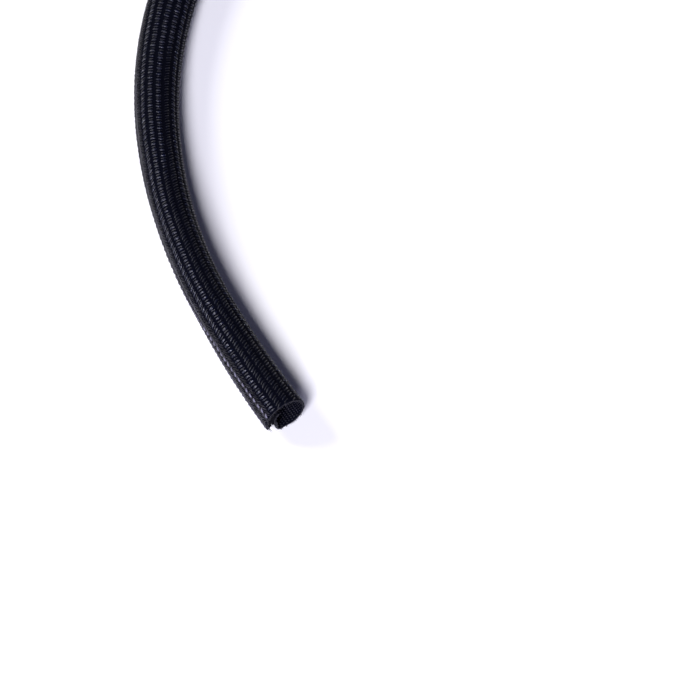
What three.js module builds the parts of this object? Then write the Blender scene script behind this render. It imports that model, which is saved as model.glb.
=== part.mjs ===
// A hook and loop cable sleeve, closed into a tube and lying in a loose bend on a flat surface.
// Millimetres, +Z up. The surface is at Z = 0 and the origin is the middle of the footprint.
// A ribbed woven strip is rolled up with one edge lapped over the other, and a hook tape and a
// loop tape hold the lap shut. One cut end, the mouth, faces -Y. Both ends are open.
import * as THREE from "three";

// Driving dimensions
const sleeveLength = 500; // along the centreline, from cut end to cut end
const outsideDiameter = 14; // over the ribs, where the tube is round
const wallThickness = 0.8; // of the woven strip, between its ribs
const ribHeight = 0.25;
const ribsAround = 16; // in one full turn
const flatSink = 0.35; // how far the tube settles, which gives it its flat spot

// Closure: the flap is the outer edge of the strip, and its free edge looks down and outwards
const flapEdgeBelowSide = 38; // degrees below the side of the tube
const tapeWidth = 8;
const tapeEdgeMargin = 0.4; // strip left bare between the flap's free edge and the tapes
const innerEdgeMargin = 0.8; // strip left bare past the tapes on the lapped-under edge
const hookTapeThickness = 0.5;
const loopTapeThickness = 0.5;
const seamGap = 0.3; // between each layer and the next
const lapRampTurn = 48; // degrees over which the lapped-under edge dips below the flap
const lapLead = 5; // degrees from the end of that dip to the flap's free edge

// Lie: it leaves the mouth nearly straight and then bends more, always to the same side
const mouthBendLength = 50;
const mouthBendRadius = 360;
const middleBendLength = 70;
const middleBendRadius = 203;
const nextBendLength = 60;
const nextBendRadius = 175;
const wholeTurn = Math.PI; // the far end faces the same way as the mouth

// Width over the ribs along the centreline, as a share of the round tube's
const mouthShare = 1.06;
const narrowShare = 0.92;
const wideShare = 1.15;
const farShare = 1.08;
const narrowFrom = 50; // distances from the mouth
const narrowTo = 75;
const widestAt = 175;
const settleShare = 0.35; // how much of the extra width comes off the height

// Fineness of the faces
const pointsPerRib = 3;
const innerStep = THREE.MathUtils.degToRad(12);
const stationSpacing = 14;

// Derived sizes of the section
const outerRadius = outsideDiameter / 2;
const valleyRadius = outerRadius - ribHeight;
const boreRadius = valleyRadius - wallThickness;
const centreHeight = outerRadius - flatSink;
const tapesStart = seamAngle(tapeEdgeMargin);
const tapesEnd = seamAngle(tapeEdgeMargin + tapeWidth);
const stripStart = seamAngle(0);
const stripEnd = 2 * Math.PI + seamAngle(tapeEdgeMargin + tapeWidth + innerEdgeMargin);
const hookInset = wallThickness + seamGap;
const loopInset = hookInset + hookTapeThickness + seamGap;
const lapInset = loopInset + loopTapeThickness + seamGap;
const lapFull = 2 * Math.PI + stripStart - THREE.MathUtils.degToRad(lapLead);
const lapBegins = lapFull - THREE.MathUtils.degToRad(lapRampTurn);

const firstBends = [
  { length: mouthBendLength, radius: mouthBendRadius },
  { length: middleBendLength, radius: middleBendRadius },
  { length: nextBendLength, radius: nextBendRadius },
];
const widthShares = [
  { at: 0, share: mouthShare },
  { at: narrowFrom, share: narrowShare },
  { at: narrowTo, share: narrowShare },
  { at: widestAt, share: wideShare },
  { at: sleeveLength, share: farShare },
];

const weave = new THREE.MeshStandardMaterial({ color: 0x12131f, roughness: 0.45, metalness: 0 });
const hooks = new THREE.MeshStandardMaterial({ color: 0x0c0d12, roughness: 0.6, metalness: 0 });
const loops = new THREE.MeshStandardMaterial({ color: 0x14141b, roughness: 0.95, metalness: 0 });

// Angles start at the side of the tube on the outside of the bend and rise over its top.
function seamAngle(fromFlapEdge) {
  return -THREE.MathUtils.degToRad(flapEdgeBelowSide) + fromFlapEdge / (outsideDiameter / 2);
}

// How far the strip lies inside the round tube: nothing at first, then under its own flap.
function inset(angle) {
  return lapInset * THREE.MathUtils.smoothstep(angle, lapBegins, lapFull);
}

// Height of the ribs over the valleys, pressed flat where the strip runs under the flap. They are
// counted from the flap's free edge.
function rib(angle) {
  const column = ((angle - stripStart) * ribsAround) / (2 * Math.PI);
  const valley = Math.abs(column - Math.round(column)) < 0.5 / pointsPerRib;
  const pressed = THREE.MathUtils.smoothstep(angle, lapBegins, lapFull);
  return valley ? 0 : ribHeight * (1 - pressed);
}

// A point of the section at an angle and radius, kept above the surface the tube lies on.
function sectionPoint(angle, radius) {
  const height = centreHeight + radius * Math.sin(angle);
  return new THREE.Vector2(-radius * Math.cos(angle), Math.max(height, 0));
}

// Evenly spaced angles from one to another, both included.
function angles(from, to, step) {
  const count = Math.max(1, Math.round(Math.abs(to - from) / step));
  return Array.from({ length: count + 1 }, (_, i) => from + ((to - from) * i) / count);
}

function stripSection() {
  const outerStep = (2 * Math.PI) / ribsAround / pointsPerRib;
  const outer = angles(stripStart, stripEnd, outerStep).map((angle) =>
    sectionPoint(angle, valleyRadius + rib(angle) - inset(angle)),
  );
  const inner = angles(stripEnd, stripStart, innerStep).map((angle) =>
    sectionPoint(angle, boreRadius - inset(angle)),
  );
  return new THREE.Shape([...outer, ...inner]);
}

// A tape between the flap and the edge under it, its outer face at a depth below the valleys.
function tapeSection(depth, thickness) {
  const face = angles(tapesStart, tapesEnd, innerStep);
  const outer = face.map((angle) => sectionPoint(angle, valleyRadius - depth));
  const inner = face.reverse().map((angle) => sectionPoint(angle, valleyRadius - depth - thickness));
  return new THREE.Shape([...outer, ...inner]);
}

// The bends in order from the mouth, the last one taking the rest of the length and the turn.
function allBends() {
  const used = firstBends.reduce((sum, bend) => sum + bend.length, 0);
  const turned = firstBends.reduce((sum, bend) => sum + bend.length / bend.radius, 0);
  const rest = sleeveLength - used;
  return [...firstBends, { length: rest, radius: rest / (wholeTurn - turned) }];
}

// The centreline's place and heading at a distance from the mouth. Headings turn from +Y to +X.
function routeAt(distance) {
  let x = 0;
  let y = 0;
  let heading = 0;
  let left = distance;
  for (const { length, radius } of allBends()) {
    const next = heading + Math.min(left, length) / radius;
    x += radius * (Math.cos(heading) - Math.cos(next));
    y += radius * (Math.sin(next) - Math.sin(heading));
    heading = next;
    left -= Math.min(left, length);
  }
  return { x, y, heading };
}

// The width share at a distance from the mouth, between the two named places around it.
function widthShare(distance) {
  const last = widthShares.length - 1;
  const next = Math.max(1, widthShares.findIndex(({ at }) => at >= distance));
  const to = widthShares[Math.min(next, last)];
  const from = widthShares[Math.min(next, last) - 1];
  const part = THREE.MathUtils.clamp((distance - from.at) / (to.at - from.at), 0, 1);
  return from.share + (to.share - from.share) * part;
}

// Extrudes a section straight, from the far end to the mouth, and lays it along the route.
function layAlongRoute(section) {
  const geometry = new THREE.ExtrudeGeometry(section, {
    depth: sleeveLength,
    steps: Math.round(sleeveLength / stationSpacing),
    bevelEnabled: false,
  });
  const place = geometry.getAttribute("position");
  for (let i = 0; i < place.count; i += 1) {
    const distance = sleeveLength - place.getZ(i);
    const { x, y, heading } = routeAt(distance);
    const share = widthShare(distance);
    const across = place.getX(i) * share;
    const height = place.getY(i) * (1 - settleShare * (share - 1));
    place.setXYZ(i, x + across * Math.cos(heading), y - across * Math.sin(heading), height);
  }
  geometry.computeVertexNormals();
  return geometry;
}

function piece(name, section, material) {
  const mesh = new THREE.Mesh(layAlongRoute(section), material);
  mesh.name = name;
  return mesh;
}

const sleeve = new THREE.Group();
sleeve.add(piece("woven_wrap", stripSection(), weave));
sleeve.add(piece("hook_tape", tapeSection(hookInset, hookTapeThickness), hooks));
sleeve.add(piece("loop_tape", tapeSection(loopInset, loopTapeThickness), loops));

// The origin is the middle of the footprint.
const footprint = new THREE.Box3().setFromObject(sleeve).getCenter(new THREE.Vector3());
sleeve.position.set(-footprint.x, -footprint.y, 0);

export default sleeve;
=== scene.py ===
"""A hook and loop cable sleeve, woven in ribs, lying in a loose bend on a white table."""
import math

import bpy
import numpy as np
from mathutils import Matrix, Vector


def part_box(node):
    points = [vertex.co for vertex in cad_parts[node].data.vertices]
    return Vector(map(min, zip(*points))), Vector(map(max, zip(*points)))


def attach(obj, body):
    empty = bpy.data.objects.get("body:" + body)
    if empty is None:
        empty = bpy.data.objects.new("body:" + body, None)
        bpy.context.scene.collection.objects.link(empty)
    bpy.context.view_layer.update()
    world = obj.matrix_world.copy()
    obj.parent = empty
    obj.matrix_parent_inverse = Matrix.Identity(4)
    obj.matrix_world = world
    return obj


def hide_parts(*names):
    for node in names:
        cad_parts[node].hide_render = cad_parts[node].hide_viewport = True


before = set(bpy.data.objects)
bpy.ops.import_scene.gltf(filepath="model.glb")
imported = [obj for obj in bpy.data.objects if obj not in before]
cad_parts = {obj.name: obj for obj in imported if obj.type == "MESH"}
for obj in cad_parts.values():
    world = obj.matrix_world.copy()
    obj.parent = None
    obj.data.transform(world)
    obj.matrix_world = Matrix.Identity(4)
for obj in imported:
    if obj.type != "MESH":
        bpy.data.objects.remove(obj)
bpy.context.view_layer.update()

MM = 0.001

# The sleeve's own sizes, in millimetres. It starts as a flat strip: "across" runs from the flap's
# free edge, "along" from the mouth, and "rise" out of the valleys between the ribs.
LENGTH = 500.0
OUTSIDE = 14.0
WALL = 0.8
RIB_RISE = 0.25
RIBS_AROUND = 16
FLAT_SINK = 0.35
FLAP_EDGE_BELOW_SIDE = 38.0
TAPE_WIDTH = 8.0
TAPE_EDGE_MARGIN = 0.4
INNER_EDGE_MARGIN = 0.8
TAPE_THICKNESS = 0.5
SEAM_GAP = 0.3
LAP_RAMP_TURN = 48.0
LAP_LEAD = 5.0
SETTLE_SHARE = 0.35
BENDS = [(50.0, 360.0), (70.0, 203.0), (60.0, 175.0)]
WHOLE_TURN = math.pi
WIDTH_AT = [0.0, 50.0, 75.0, 175.0, LENGTH]
WIDTH_SHARE = [1.06, 0.92, 0.92, 1.15, 1.08]
WIDTH_EASE = 9.0
TURNED_AT = [0.0, 18.0, 30.0, 40.0, 50.0, 88.0, 105.0, 125.0, 160.0, 260.0, LENGTH]
TURNED_DEG = [13.0, 11.0, 9.0, 3.0, 0.0, 0.0, 7.0, 10.0, 11.0, 0.0, 4.0]
TURN_EASE = 5.0

# What lies under the tube is pressed flat on the table: how far bars reach above the valleys, the
# share of it that has to fit below, and how gently the pressing sets in
BAR_TOP = 0.45
SHARE_BELOW = 0.8
PRESS_EASE = 0.3

# Derived sizes of the section
MID_RADIUS = OUTSIDE / 2
VALLEY_RADIUS = MID_RADIUS - RIB_RISE
CENTRE_HEIGHT = MID_RADIUS - FLAT_SINK
STRIP_START = -math.radians(FLAP_EDGE_BELOW_SIDE)
LAP = TAPE_EDGE_MARGIN + TAPE_WIDTH + INNER_EDGE_MARGIN
STRIP_WIDTH = 2 * math.pi * MID_RADIUS + LAP
LAP_INSET = WALL + 3 * SEAM_GAP + 2 * TAPE_THICKNESS
LAP_FULL = 2 * math.pi + STRIP_START - math.radians(LAP_LEAD)
LAP_BEGINS = LAP_FULL - math.radians(LAP_RAMP_TURN)
RIB_PITCH = 2 * math.pi * MID_RADIUS / RIBS_AROUND

# The weave: the pitch of the bars along a rib, the flap's border and how far it stands up, how
# deep the tapes are sewn in, and where the hooks' tape ends and the pile begins
PICK = 1.12
BORDER_RIBS = 3
BORDER_WIDTH = BORDER_RIBS * RIB_PITCH
BORDER_RISE = 0.22
SEW = 0.02
PILE_TOP = -WALL - SEAM_GAP - TAPE_THICKNESS


def smoothstep(value, start, end):
    part = np.clip((value - start) / (end - start), 0, 1)
    return part * part * (3 - 2 * part)


def bends():
    used = sum(length for length, _ in BENDS)
    turned = sum(length / radius for length, radius in BENDS)
    return BENDS + [(LENGTH - used, (LENGTH - used) / (WHOLE_TURN - turned))]


def route(along):
    """The centreline's place and heading, straight on past both ends."""
    x = np.zeros_like(along)
    y = np.minimum(along, 0)
    heading = np.zeros_like(along)
    left = np.maximum(along, 0)
    for length, radius in bends():
        part = np.minimum(left, length)
        turned = heading + part / radius
        x = x + radius * (np.cos(heading) - np.cos(turned))
        y = y + radius * (np.sin(turned) - np.sin(heading))
        heading = turned
        left = left - part
    return x + left * np.sin(heading), y + left * np.cos(heading), heading


def eased(along, at, values, ease):
    """Values between named places, their corners rounded off."""
    return sum(np.interp(along + shift, at, values) for shift in (-ease, 0, ease)) / 3


def turned_by(along):
    """How far the strip has turned about its own route, which carries its ribs round a little."""
    return np.radians(eased(along, TURNED_AT, TURNED_DEG, TURN_EASE))


def laid(across, along, rise):
    """Points of the flat strip, rolled up and laid along the route, in millimetres from the mouth."""
    angle = STRIP_START + across / MID_RADIUS
    radius = VALLEY_RADIUS - LAP_INSET * smoothstep(angle, LAP_BEGINS, LAP_FULL) + rise
    angle = angle + turned_by(along)
    height = CENTRE_HEIGHT + radius * np.sin(angle)
    floor = (BAR_TOP - rise) * SHARE_BELOW
    above = height - floor - PRESS_EASE
    height = np.where(above < 0, floor + PRESS_EASE * np.exp(np.minimum(above, 0) / PRESS_EASE), height)
    share = eased(along, WIDTH_AT, WIDTH_SHARE, WIDTH_EASE)
    side = -radius * np.cos(angle) * share
    x, y, heading = route(along)
    height = height * (1 - SETTLE_SHARE * (share - 1))
    return np.stack([x + side * np.cos(heading), y - side * np.sin(heading), height], -1)


def mouth_place():
    """Where the mouth's centre lies, from the CAD strip's box and the same strip laid here."""
    across, along = np.meshgrid(np.linspace(0, STRIP_WIDTH, 200), np.linspace(0, LENGTH, 300))
    own = laid(across, along, np.full_like(across, RIB_RISE)).reshape(-1, 3)
    box_lo, box_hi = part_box("woven_wrap")
    centre = (box_lo + box_hi) / 2
    shift = np.array(centre) - (own.min(0) + own.max(0)) / 2 * MM
    return np.array([shift[0], shift[1], 0.0])


MOUTH = mouth_place()


def lay(points):
    """An array of (across, along, rise) as places in the part's frame, in metres."""
    return laid(points[..., 0], points[..., 1], points[..., 2]) * MM + MOUTH


# Camera
CAMERA_HEADING = math.radians(33.0)
CAMERA_ELEVATION = math.radians(56.0)
CAMERA_DISTANCE = 1.5
VIEW_WIDTH = 0.2229
AIM_FROM_MOUTH = Vector((0.0329, 0.0134, 0.0))


def turned(x, y, z):
    """A direction given as the camera sees the table: right, away and up."""
    return Matrix.Rotation(-CAMERA_HEADING, 3, "Z") @ Vector((x, y, z))


def make_camera():
    data = bpy.data.cameras.new("camera")
    data.sensor_width = 36.0
    data.lens = data.sensor_width * CAMERA_DISTANCE / VIEW_WIDTH
    data.clip_end = 20.0
    camera = bpy.data.objects.new("camera", data)
    bpy.context.scene.collection.objects.link(camera)
    ahead = turned(0, math.cos(CAMERA_ELEVATION), -math.sin(CAMERA_ELEVATION))
    camera.location = Vector(MOUTH) + AIM_FROM_MOUTH - ahead * CAMERA_DISTANCE
    camera.rotation_euler = ahead.to_track_quat("-Z", "Y").to_euler()
    bpy.context.scene.camera = camera


class Shade:
    """A shader socket that Python operators extend with Math nodes."""

    def __init__(self, tree, socket):
        self.tree = tree
        self.socket = socket

    def math(self, operation, *values):
        node = self.tree.nodes.new("ShaderNodeMath")
        node.operation = operation
        for slot, value in zip(node.inputs, values):
            connect(self.tree, slot, value)
        return Shade(self.tree, node.outputs[0])

    def __add__(self, other):
        return self.math("ADD", self, other)

    def __rsub__(self, other):
        return self.math("SUBTRACT", other, self)

    def __mul__(self, other):
        return self.math("MULTIPLY", self, other)

    __rmul__ = __mul__

    def sine(self):
        return self.math("SINE", self)


def connect(tree, slot, value):
    if isinstance(value, Shade):
        tree.links.new(value.socket, slot)
    else:
        slot.default_value = value


# The colour mixer's sockets, which share their names with its other kinds
MIX_AMOUNT, MIX_FIRST, MIX_SECOND, MIX_RESULT = 0, 6, 7, 2


class Material:
    """A Principled material, built up node by node."""

    def __init__(self, name, colour, roughness, **constants):
        self.material = bpy.data.materials.new(name)
        self.material.use_nodes = True
        self.tree = self.material.node_tree
        self.shader = self.tree.nodes["Principled BSDF"]
        self.set("Base Color", (*colour, 1.0))
        self.set("Roughness", roughness)
        for socket, value in constants.items():
            self.set(socket.replace("_", " "), value)

    def set(self, socket, value):
        connect(self.tree, self.shader.inputs[socket], value)

    def node(self, kind, output=0, settings=None, **inputs):
        made = self.tree.nodes.new(kind)
        for name, value in (settings or {}).items():
            setattr(made, name, value)
        for name, value in inputs.items():
            connect(self.tree, made.inputs[name.replace("_", " ")], value)
        return Shade(self.tree, made.outputs[output])

    def attribute(self, name):
        return self.node("ShaderNodeAttribute", "Fac", {"attribute_name": name})

    def uv(self, name, axis):
        place = self.node("ShaderNodeUVMap", 0, {"uv_map": name})
        return self.node("ShaderNodeSeparateXYZ", axis, Vector=place)

    def mix(self, amount, first, second):
        """From one plain colour to another."""
        made = self.tree.nodes.new("ShaderNodeMix")
        made.data_type = "RGBA"
        connect(self.tree, made.inputs[MIX_AMOUNT], amount)
        connect(self.tree, made.inputs[MIX_FIRST], (*first, 1.0))
        connect(self.tree, made.inputs[MIX_SECOND], (*second, 1.0))
        return Shade(self.tree, made.outputs[MIX_RESULT])

    def bump(self, height, distance, strength):
        normal = self.node("ShaderNodeBump", Height=height, Distance=distance, Strength=strength)
        self.set("Normal", normal)


# Materials: how much rougher the darkest yarn is, the depth in metres and the strength of the
# filaments and of the cloth's picks, and the table's colour as light finds it and as it is seen
DARK_YARN_ROUGHER = 0.14
FILAMENT_BUMP = (0.00004, 0.6)
CLOTH_BUMP = (0.0002, 0.8)
CLOTH_ROUGHNESS = 0.9
CLOTH_SPECULAR = 0.06
TABLE_ROUGHNESS = 0.9
TABLE_LIT = (0.30, 0.30, 0.32)
TABLE_SEEN = (1.0, 1.0, 1.0)
SEEN_BY = ("Is Camera Ray", "Is Glossy Ray", "Is Transmission Ray")


def yarn_material(name, dark, light, roughness, filaments):
    """Glossy filament yarn: fine lines along each bar, and each bar a little lighter or darker."""
    made = Material(name, dark, roughness)
    tone = made.attribute("tone")
    made.set("Base Color", made.mix(tone, dark, light))
    made.set("Roughness", roughness + DARK_YARN_ROUGHER - DARK_YARN_ROUGHER * tone)
    lines = (made.uv("yarn", "Y") * (2 * math.pi * filaments)).sine()
    made.bump(lines * 0.5 + 0.5, *FILAMENT_BUMP)
    return made.material


def cloth_material(name, colour):
    """Matte cloth: picks across it and ends along it, pressed close."""
    made = Material(name, colour, CLOTH_ROUGHNESS, Specular_IOR_Level=CLOTH_SPECULAR)
    turns = 4 * math.pi / PICK
    picks = (made.uv("strip", "Y") * turns).sine() * (made.uv("strip", "X") * turns).sine()
    made.bump(picks * 0.5 + 0.5, *CLOTH_BUMP)
    return made.material


def floor_material():
    """A matte table that is white to look at, also in gloss, and sends less light back up."""
    made = Material("white_table", TABLE_SEEN, TABLE_ROUGHNESS, Specular_IOR_Level=0.0)
    by_camera, by_gloss, by_glass = [made.node("ShaderNodeLightPath", ray) for ray in SEEN_BY]
    made.set("Base Color", made.mix(by_camera + by_gloss + by_glass, TABLE_LIT, TABLE_SEEN))
    return made.material


# Pieces
def new_piece(name, vertices, faces, material):
    mesh = bpy.data.meshes.new(name)
    mesh.from_pydata(vertices.tolist(), [], faces)
    mesh.materials.append(material)
    piece = bpy.data.objects.new(name, mesh)
    bpy.context.scene.collection.objects.link(piece)
    mesh.shade_smooth()
    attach(piece, "root")
    return piece


def set_uv(mesh, name, per_vertex):
    layer = mesh.uv_layers.new(name=name)
    loops = np.zeros(len(mesh.loops), int)
    mesh.loops.foreach_get("vertex_index", loops)
    layer.data.foreach_set("uv", per_vertex[loops].astype(np.float32).ravel())


def set_attribute(mesh, name, per_vertex):
    layer = mesh.attributes.new(name, "FLOAT", "POINT")
    layer.data.foreach_set("value", per_vertex.astype(np.float32))


# The strip itself: how full its ribs are, what is left of them and how far they sink under the
# bars, and how many places the strip and the tapes have across and along
RIB_FULLNESS = 0.8
GROUND_SHARE = 0.6
GROUND_SINK = 0.1
STRIP_PLACES = (146, 251)
TAPE_PLACES = (13, 201)


def rib_profile(across):
    """Rounded ribs, none on the flap's border, pressed flat where the strip runs under the flap."""
    angle = STRIP_START + across / MID_RADIUS
    pressed = smoothstep(angle, LAP_BEGINS, LAP_FULL)
    ribbed = across > BORDER_WIDTH
    round_rib = np.abs(np.sin(math.pi * across / RIB_PITCH)) ** RIB_FULLNESS
    return RIB_RISE * round_rib * (1 - pressed) * ribbed


def slab(name, across_at, along_at, top, bottom, material, node):
    """A closed strip between two heights, each given for every place across, that stands for a node."""
    across, along = np.meshgrid(across_at, along_at)
    upper = np.stack([across, along, np.broadcast_to(top, across.shape)], -1).reshape(-1, 3)
    lower = np.stack([across, along, np.broadcast_to(bottom, across.shape)], -1).reshape(-1, 3)
    flat = np.concatenate([upper, lower])
    rows, columns = across.shape
    index = np.arange(rows * columns).reshape(rows, columns)
    quads = np.stack([index[:-1, :-1], index[:-1, 1:], index[1:, 1:], index[1:, :-1]], -1).reshape(-1, 4)
    rim = np.concatenate([index[0, :], index[1:, -1], index[-1, -2::-1], index[-2:0:-1, 0]])
    ahead = np.roll(rim, -1)
    size = rows * columns
    wall = np.stack([rim, rim + size, ahead + size, ahead], -1)
    faces = np.concatenate([quads, quads[:, ::-1] + size, wall]).tolist()
    made = new_piece(name, lay(flat), faces, material)
    set_uv(made.data, "strip", flat[:, :2])
    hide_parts(node)
    return made


def make_layers():
    """The woven strip, and the hook and loop tapes between its flap and the edge lapped under it."""
    across_at = np.linspace(0, STRIP_WIDTH, STRIP_PLACES[0])
    along_at = np.linspace(0, LENGTH, STRIP_PLACES[1])
    top = rib_profile(across_at) * GROUND_SHARE - GROUND_SINK + BORDER_RISE * (across_at < BORDER_WIDTH)
    strip = slab("strip", across_at, along_at, top, -WALL, MATERIALS["ground"], "woven_wrap")
    tape_at = np.linspace(TAPE_EDGE_MARGIN, TAPE_EDGE_MARGIN + TAPE_WIDTH, TAPE_PLACES[0])
    along_at = np.linspace(0, LENGTH, TAPE_PLACES[1])
    loops_top, loops_bottom = PILE_TOP - SEAM_GAP, -LAP_INSET - SEW
    tapes = [
        slab("hooks", tape_at, along_at, SEW - WALL, PILE_TOP, MATERIALS["hook_cloth"], "hook_tape"),
        slab("loops", tape_at, along_at, loops_top, loops_bottom, MATERIALS["loop_cloth"], "loop_tape"),
    ]


# The bars: rings of this many sides, at shares of the bar's half length, each with its fullness
BAR_SIDES = 6
FLOAT_STATIONS = [(-1.0, 0.35), (-0.62, 0.88), (0.0, 1.0), (0.62, 0.88), (1.0, 0.35)]
SHORT_STATIONS = [(-1.0, 0.5), (0.0, 1.0), (1.0, 0.5)]
ARCH_LEVEL = 0.4


def bar_shape(stations):
    """One bar as (length, width, rise) shares, its faces, and each vertex's (length, round) place."""
    turns = np.arange(BAR_SIDES) / BAR_SIDES
    rings = []
    places = []
    for station, fullness in stations:
        for turn in turns:
            swing = 2 * math.pi * turn
            rings.append((station, fullness * math.cos(swing), fullness * math.sin(swing)))
            places.append((station, turn))
    count = len(stations)
    faces = []
    for ring in range(count - 1):
        for side in range(BAR_SIDES):
            a = ring * BAR_SIDES + side
            b = ring * BAR_SIDES + (side + 1) % BAR_SIDES
            faces.append((a, a + BAR_SIDES, b + BAR_SIDES, b))
    faces.append(tuple(range(BAR_SIDES)))
    faces.append(tuple(reversed(range((count - 1) * BAR_SIDES, count * BAR_SIDES))))
    return np.array(rings), faces, np.array(places)


def spread(name, stations, at, half, lean, tone, material, arch=0.0, dip=0.0, tilt=0.0, along_strip=False):
    """Bars of yarn over the strip: at is (across, along, rise) and half (length, width, rise) of each.
    Lean slants a bar, arch bows it and dip lowers its tips. Tilt raises the side of it that is further
    from the mouth, like a shingle."""
    shape, faces, places = bar_shape(stations)
    station = shape[None, :, 0]
    length = station * half[:, 0, None]
    width = shape[None, :, 1] * half[:, 1, None] + lean[:, None] * length
    width = width + np.broadcast_to(arch, len(at))[:, None] * (station**2 - ARCH_LEVEL)
    flat = np.empty((len(at), len(shape), 3))
    flat[..., 0] = at[:, 0, None] + (width if along_strip else length)
    flat[..., 1] = at[:, 1, None] + (length if along_strip else width)
    lifted = shape[None, :, 2] * half[:, 2, None] + tilt * shape[None, :, 1] * half[:, 1, None]
    flat[..., 2] = at[:, 2, None] + lifted - dip * station**2
    count = len(shape)
    starts = (np.arange(len(at)) * count).tolist()
    turn = -1 if along_strip else 1
    all_faces = [tuple(start + v for v in face[::turn]) for start in starts for face in faces]
    bars = new_piece(name, lay(flat.reshape(-1, 3)), all_faces, material)
    tones = np.broadcast_to(np.clip(tone, 0, 1), len(at))
    set_attribute(bars.data, "tone", np.repeat(tones, count))
    set_uv(bars.data, "yarn", np.tile(places, (len(at), 1)))


def every(*ranges):
    """Every combination of the numbers given, as flat arrays."""
    return [part.ravel() for part in np.meshgrid(*ranges, indexing="ij")]


# A rib's bars are large and small by turns: half their length, width and rise, how far their middle
# stands above the valleys, and how light they are
LARGE_BAR = (1.04, 0.38, 0.24, 0.08, 0.75)
SMALL_BAR = (1.10, 0.25, 0.17, 0.0, 0.2)
RIB_DIP = 0.13
RIB_TILT = 0.40
RIB_FROM_CUT = 0.4
NEIGHBOUR_SHIFT = 0.3
RIB_VARIES = {
    "length": 0.04, "width": 0.07, "place": 0.04, "rise": 0.012, "lean": 0.05, "tone": 0.15, "arch": 0.10,
}
RIB_LEANS = [0.0, 0.0, 0.0, 0.5, 0.0, -0.06, -0.1, -0.12, 0.45, -0.2, 0.4, -0.1, 0.45, -0.1, 0.4, 0.0]
SHORTER_BARS = 0.16
SHORTER_FROM_TO = (85.0, 125.0)

# Near the mouth the ribs over the top lie another way, each by (its lean, up to how far along), and
# all but the first of them lie slack: level and flatter, with their yarn darkened there as painted shade
# where they catch no highlight
NEAR_LEANS = {3: (-0.1, 32.0), 4: (0.5, 32.0), 5: (0.5, 100.0), 6: (0.5, 150.0)}
NEAR_EASE = 6.0
SLACK_RISE = 0.03
SLACK_FLATTER = 0.6
SLACK_PAINTED_SHADE = 0.6


def near_share(rib, along):
    """How far each bar still lies as its rib does near the mouth, from 1 there to 0 further on."""
    share = np.zeros(len(rib))
    for near_rib, (_, until) in NEAR_LEANS.items():
        fading = 1 - smoothstep(along, until - NEAR_EASE, until + NEAR_EASE)
        share = np.where(rib == near_rib, fading, share)
    return share


def rib_lean(rib, along):
    """The bars' slant: its own on each rib, and another one near the mouth on the ribs over the top."""
    own = np.array(RIB_LEANS)[rib]
    near = np.array([NEAR_LEANS.get(one, (0.0, 0.0))[0] for one in rib])
    return own + (near - own) * near_share(rib, along)


def make_ribs(name, ribs, seed):
    """Bars of yarn stacked along each rib, slanted one way or the other like a herringbone."""
    rng = np.random.default_rng(seed)
    rib, row = every(ribs, np.arange(int(LENGTH / PICK)))
    count = len(rib)
    large = (row + rib) % 2 == 0
    length, width, thick, rise, light = np.where(large, np.array([LARGE_BAR]).T, np.array([SMALL_BAR]).T)
    shorter = 1 - SHORTER_BARS * smoothstep(row * PICK, *SHORTER_FROM_TO)
    length = length * shorter * rng.normal(1, RIB_VARIES["length"], count)
    width = width * rng.normal(1, RIB_VARIES["width"], count)
    across = (rib + 0.5) * RIB_PITCH + rng.normal(0, RIB_VARIES["place"], count)
    along = (row + 0.5 + NEIGHBOUR_SHIFT * (rib % 2)) * PICK + rng.normal(0, RIB_VARIES["place"], count)
    along = np.clip(along, RIB_FROM_CUT, LENGTH - RIB_FROM_CUT)
    slack = near_share(rib, along) * (rib > BORDER_RIBS)
    thick = thick * (1 - SLACK_FLATTER * slack)
    rise = rise + (SLACK_RISE - rise) * slack + rng.normal(0, RIB_VARIES["rise"], count)
    lean = rib_lean(rib, along) + rng.normal(0, RIB_VARIES["lean"], count)
    # Slack bars lose tone here: painted shade
    tone = light + rng.normal(0, RIB_VARIES["tone"], count) - SLACK_PAINTED_SHADE * slack
    arch = rng.normal(0, RIB_VARIES["arch"], count)
    at = np.stack([across, along, rise], -1)
    half = np.stack([length, width, thick], -1)
    spread(name, FLOAT_STATIONS, at, half, lean, tone, MATERIALS["yarn"], arch, RIB_DIP, RIB_TILT)


# The border's bars: their pitch along and across, where the first column starts, half their size,
# and the slants of one column and the next
BORDER_PICK = 0.60
BORDER_END = 1.37
BORDER_START = 0.03
BORDER_BAR = (0.74, 0.15, 0.18)
BORDER_LEANS = (0.75, -0.65)
BORDER_TONE = 0.25
BORDER_DIP = 0.14
BORDER_TILT = 0.3
BORDER_FROM_CUT = 0.3
BORDER_VARIES = {"size": 0.12, "across": 0.02, "along": 0.03, "rise": 0.015, "lean": 0.12, "tone": 0.35}


def make_border(seed):
    """The flap's border: a finer, flatter weave."""
    rng = np.random.default_rng(seed)
    end, row = every(np.arange(int(BORDER_WIDTH / BORDER_END)), np.arange(int(LENGTH / BORDER_PICK)))
    count = len(end)
    half = np.array(BORDER_BAR) * rng.normal(1, BORDER_VARIES["size"], (count, 1))
    across = (end + 0.5) * BORDER_END + BORDER_START + rng.normal(0, BORDER_VARIES["across"], count)
    along = (row + 0.5 + 0.5 * (end % 2)) * BORDER_PICK + rng.normal(0, BORDER_VARIES["along"], count)
    along = np.clip(along, BORDER_FROM_CUT, LENGTH - BORDER_FROM_CUT)
    rise = BORDER_RISE + rng.normal(0, BORDER_VARIES["rise"], count)
    lean = np.where(end % 2 == 0, *BORDER_LEANS) + rng.normal(0, BORDER_VARIES["lean"], count)
    tone = BORDER_TONE + rng.normal(0, BORDER_VARIES["tone"], count)
    at = np.stack([across, along, rise], -1)
    spread("border", SHORT_STATIONS, at, half, lean, tone, MATERIALS["border"], 0.0, BORDER_DIP, BORDER_TILT)


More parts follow.
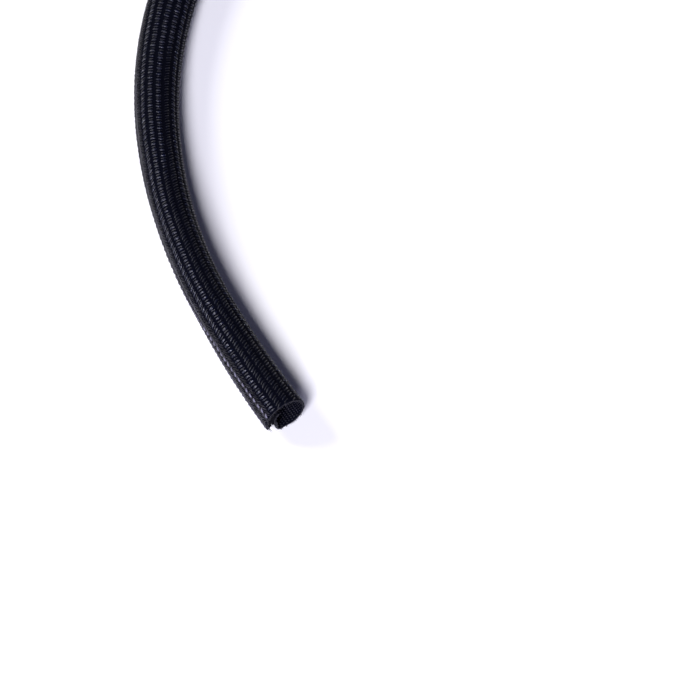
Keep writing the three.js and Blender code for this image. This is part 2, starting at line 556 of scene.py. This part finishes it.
# Each row of stitches: how far across it is, its pitch, half the thread's width, its seed, and
# whether it wanders across the flap near the mouth
STITCH_ROWS = {"stitches_inner": (3.0, 2.3, 0.32, 21, True), "stitches_edge": (1.25, 1.9, 0.22, 22, False)}
STITCH_WANDER_AT = [0.0, 18.0, 38.0, 62.0, 105.0]
STITCH_WANDER = [3.9, 3.3, 2.5, 0.0, -1.0]
# The thread's tone at these places: light near the mouth as a painted highlight, darker further on as
# painted shade
STITCH_PAINTED_LIGHT = [1.0, 0.9, 0.6, 0.3, 0.1]
STITCH_RISE = BORDER_RISE + 0.16
STITCH_HALF_LENGTH_SHARE = 0.31
STITCH_FLATNESS = 0.7
STITCH_LEAN = 0.42
STITCH_DIP = 0.22
STITCH_VARIES = {"along": 0.05, "across": 0.04, "lean": 0.09, "tone": 0.15}


def make_stitches(name):
    """A row of sewn stitches along the flap."""
    row_across, pitch, thick, seed, wanders = STITCH_ROWS[name]
    rng = np.random.default_rng(seed)
    count = int(LENGTH / pitch)
    along = (np.arange(count) + 0.5) * pitch + rng.normal(0, STITCH_VARIES["along"], count)
    wander = np.interp(along, STITCH_WANDER_AT, STITCH_WANDER) if wanders else 0
    across = row_across + wander + rng.normal(0, STITCH_VARIES["across"], count)
    at = np.stack([across, along, np.full(count, STITCH_RISE)], -1)
    half = np.tile([pitch * STITCH_HALF_LENGTH_SHARE, thick, thick * STITCH_FLATNESS], (count, 1))
    lean = STITCH_LEAN + rng.normal(0, STITCH_VARIES["lean"], count)
    # Painted highlight near the mouth, fading to painted shade further along
    light = np.interp(along, STITCH_WANDER_AT, STITCH_PAINTED_LIGHT)
    tone = light + rng.normal(0, STITCH_VARIES["tone"], count)
    spread(name, FLOAT_STATIONS, at, half, lean, tone, MATERIALS["thread"], dip=STITCH_DIP, along_strip=True)


# The pile: its places across and along as (from, to, step), and how far in from the slit and from
# the cuts it can be seen
PILE_ACROSS = (0.7, 8.2, 0.5)
PILE_ALONG = (0.3, LENGTH, 0.55)
PILE_SEEN_FROM_SLIT = 1.4
PILE_SEEN_FROM_CUT = 5.0
PILE_BAR = (0.16, 0.07, 0.26)
PILE_TONE = 0.4
PILE_VARIES = {"place": 0.08, "size": 0.15, "lean": 0.5, "tone": 0.25}


def make_pile(seed):
    """Hooks caught in loops between the two tapes, along the slit and at both cut ends."""
    rng = np.random.default_rng(seed)
    across, along = np.meshgrid(np.arange(*PILE_ACROSS), np.arange(*PILE_ALONG))
    from_cut = np.minimum(along, LENGTH - along)
    seen = (across < PILE_SEEN_FROM_SLIT) | (from_cut < PILE_SEEN_FROM_CUT)
    across, along = across[seen], along[seen]
    count = len(across)
    at = np.stack([across, along, np.full(count, PILE_TOP - SEAM_GAP / 2)], -1)
    at = at + rng.normal(0, PILE_VARIES["place"], (count, 3))
    half = np.array(PILE_BAR) * rng.normal(1, PILE_VARIES["size"], (count, 1))
    lean = rng.normal(0, PILE_VARIES["lean"], count)
    tone = PILE_TONE + rng.normal(0, PILE_VARIES["tone"], count)
    spread("pile", SHORT_STATIONS, at, half, lean, tone, MATERIALS["border"])


# The lining's bars: their pitch across and along, how many rows go in from each cut and where the
# first one is, and how far they stand in the wall
LINING_END = 1.15
LINING_PICK = 0.8
LINING_ROWS = 34
LINING_START = 0.6
LINING_IN_WALL = 0.02
LINING_BAR = (0.55, 0.27, 0.14)
LINING_LEANS = (0.3, -0.3)
LINING_TONE = 0.3
LINING_DIP = -0.1
LINING_VARIES = {"size": 0.08, "lean": 0.06, "tone": 0.2}


def make_lining(seed):
    """The inside of the weave, as far in from both cut ends as one can look."""
    rng = np.random.default_rng(seed)
    column, row, far = every(np.arange(int(STRIP_WIDTH / LINING_END)), np.arange(LINING_ROWS), [0, 1])
    count = len(column)
    inward = (row + LINING_START + 0.5 * (column % 2)) * LINING_PICK
    along = np.where(far == 0, inward, LENGTH - inward)
    at = np.stack([(column + 0.5) * LINING_END, along, np.full(count, LINING_IN_WALL - WALL)], -1)
    half = np.array(LINING_BAR) * rng.normal(1, LINING_VARIES["size"], (count, 1))
    lean = np.where(column % 2 == 0, *LINING_LEANS) + rng.normal(0, LINING_VARIES["lean"], count)
    tone = LINING_TONE + rng.normal(0, LINING_VARIES["tone"], count)
    spread("lining", SHORT_STATIONS, at, half, lean, tone, MATERIALS["border"], dip=LINING_DIP)


# Yarn ends at a cut: the blunt ones' first place, pitch and shift between their two rows, the depth
# of each row, and the loose ones' number, depth, reach and size
BLUNT_START = 0.2
BLUNT_PITCH = 0.42
BLUNT_SHIFT = 0.2
BLUNT_DEPTHS = (-0.22, -0.58)
BLUNT_BAR = (0.14, 0.17, 0.13)
LOOSE_ENDS = 150
LOOSE_DEPTH = -0.4
LOOSE_OUT = (0.0, 0.35)
LOOSE_HALF_LENGTH = (0.2, 0.6)
LOOSE_THICK = 0.055
CUT_TONE = 0.45
CUT_VARIES = {"rise": 0.05, "lean": 0.45, "arch": 0.15, "tone": 0.25}


def make_cut_ends(seed):
    """Yarn ends at both cuts: rows of blunt ones in the cloth's thickness, and loose ones between."""
    rng = np.random.default_rng(seed)
    blunt = np.arange(BLUNT_START, STRIP_WIDTH, BLUNT_PITCH)
    loose = rng.uniform(0, STRIP_WIDTH, LOOSE_ENDS)
    rows = [(blunt, BLUNT_DEPTHS[0]), (blunt + BLUNT_SHIFT, BLUNT_DEPTHS[1]), (loose, LOOSE_DEPTH)]
    across = np.concatenate([places for places, _ in rows] * 2)
    depth = np.concatenate([np.full(len(places), below) for places, below in rows] * 2)
    count = len(across)
    is_loose = depth == LOOSE_DEPTH
    far = np.arange(count) >= count // 2
    out = np.where(is_loose, rng.uniform(*LOOSE_OUT, count), 0.0)
    along = np.where(far, LENGTH + out, -out)
    at = np.stack([across, along, depth + rng.normal(0, CUT_VARIES["rise"], count)], -1)
    length = np.where(is_loose, rng.uniform(*LOOSE_HALF_LENGTH, count), BLUNT_BAR[0])
    width = np.where(is_loose, LOOSE_THICK, BLUNT_BAR[1])
    thick = np.where(is_loose, LOOSE_THICK, BLUNT_BAR[2])
    half = np.stack([length, width, thick], -1)
    lean = np.where(is_loose, rng.normal(0, CUT_VARIES["lean"], count), 0)
    arch = np.where(is_loose, rng.normal(0, CUT_VARIES["arch"], count), 0)
    tone = CUT_TONE + rng.normal(0, CUT_VARIES["tone"], count)
    spread("cut_ends", FLOAT_STATIONS, at, half, lean, tone, MATERIALS["border"], arch, along_strip=True)


# Frayed threads: their number, half their length, where they start, and the share of it that is out
FRAYS = 14
FRAY_REACH = (0.5, 1.7)
FRAY_ACROSS = (0.1, 2.6)
FRAY_RISE = (-0.7, 0.0)
FRAY_OUT_SHARE = 0.75
FRAY_THICK = 0.05
FRAY_TONE = 0.4
FRAY_VARIES = {"lean": 0.4, "arch": 0.7}


def make_frays(seed):
    """Long loose threads at the flap's corners, where the cut starts to unravel."""
    rng = np.random.default_rng(seed)
    far = np.arange(FRAYS) >= FRAYS // 2
    reach = rng.uniform(*FRAY_REACH, FRAYS)
    across = rng.uniform(*FRAY_ACROSS, FRAYS)
    along = np.where(far, LENGTH + reach * FRAY_OUT_SHARE, -reach * FRAY_OUT_SHARE)
    at = np.stack([across, along, rng.uniform(*FRAY_RISE, FRAYS)], -1)
    thick = np.full(FRAYS, FRAY_THICK)
    half = np.stack([reach, thick, thick], -1)
    lean = rng.normal(0, FRAY_VARIES["lean"], FRAYS)
    arch = rng.normal(0, FRAY_VARIES["arch"], FRAYS)
    spread("frays", FLOAT_STATIONS, at, half, lean, FRAY_TONE, MATERIALS["thread"], arch, along_strip=True)


# Light and table
TABLE_SIZE = 12.0
TABLE_BELOW = 0.00005
WORLD_COLOUR = (0.55, 0.50, 1.0)
WORLD_STRENGTH = 0.06


def make_table():
    bpy.ops.object.select_all(action="DESELECT")
    bpy.ops.mesh.primitive_plane_add(size=TABLE_SIZE, location=(0, 0, -TABLE_BELOW))
    table = bpy.context.object
    table.name = "table"
    table.data.materials.append(floor_material())


def area_light(name, direction, distance, size, watts, colour):
    """A round lamp that looks at the middle of the picture, from a direction as the camera sees it."""
    data = bpy.data.lights.new(name, "AREA")
    data.shape = "DISK"
    data.size = size
    data.energy = watts
    data.color = colour
    light = bpy.data.objects.new(name, data)
    bpy.context.scene.collection.objects.link(light)
    aim = turned(*direction).normalized()
    target = Vector(MOUTH) + AIM_FROM_MOUTH
    light.location = target + aim * distance
    light.rotation_euler = aim.to_track_quat("Z", "Y").to_euler()


def make_world():
    world = bpy.data.worlds.new("studio")
    bpy.context.scene.world = world
    world.use_nodes = True
    background = world.node_tree.nodes["Background"]
    background.inputs["Color"].default_value = (*WORLD_COLOUR, 1)
    background.inputs["Strength"].default_value = WORLD_STRENGTH


bpy.context.scene.view_settings.view_transform = "Standard"
make_camera()
make_world()
make_table()
area_light("key", (-0.22, -0.72, 0.66), 2.4, 0.87, 72.0, (0.92, 0.905, 1.0))
area_light("side", (-0.77, 0.35, 0.53), 2.2, 0.94, 30.5, (1.0, 1.0, 0.95))
area_light("front", (0.0, -0.96, 0.22), 1.6, 0.43, 15.0, (0.76, 0.75, 1.0))
area_light("edge", (0.75, 0.25, 0.50), 1.6, 0.14, 0.6, (0.70, 0.92, 1.0))
MATERIALS = {
    "yarn": yarn_material("yarn", (0.0006, 0.0012, 0.006), (0.004, 0.006, 0.02), 0.25, 12),
    # The border yarn's light colour, lighter than the ribs' yarn, is partly the border's own colour and
    # partly painted sheen from the side light and the white table; the pile, lining and cut ends share it
    "border": yarn_material("border_yarn", (0.0008, 0.0008, 0.003), (0.022, 0.021, 0.035), 0.32, 6),
    # The thread's light colour is a painted highlight, taken in full by the stitches near the mouth
    "thread": yarn_material("thread", (0.02, 0.02, 0.032), (0.17, 0.16, 0.23), 0.35, 3),
    "hook_cloth": cloth_material("hook_cloth", (0.0010, 0.0011, 0.0030)),
    "loop_cloth": cloth_material("loop_cloth", (0.0020, 0.0020, 0.0040)),
    "ground": cloth_material("ground_cloth", (0.0005, 0.0009, 0.0045)),
}
# Each group of ribs is a piece of its own, to keep every piece small, and starts from its own seed
RIB_GROUPS = {11: range(BORDER_RIBS, 8), 12: range(8, 12), 13: range(12, RIBS_AROUND)}
make_layers()
for number, (seed, ribs) in enumerate(RIB_GROUPS.items(), 1):
    make_ribs("ribs_" + str(number), np.array(ribs), seed)
make_border(20)
for row_name in STITCH_ROWS:
    make_stitches(row_name)
make_pile(23)
make_lining(24)
make_cut_ends(25)
make_frays(26)
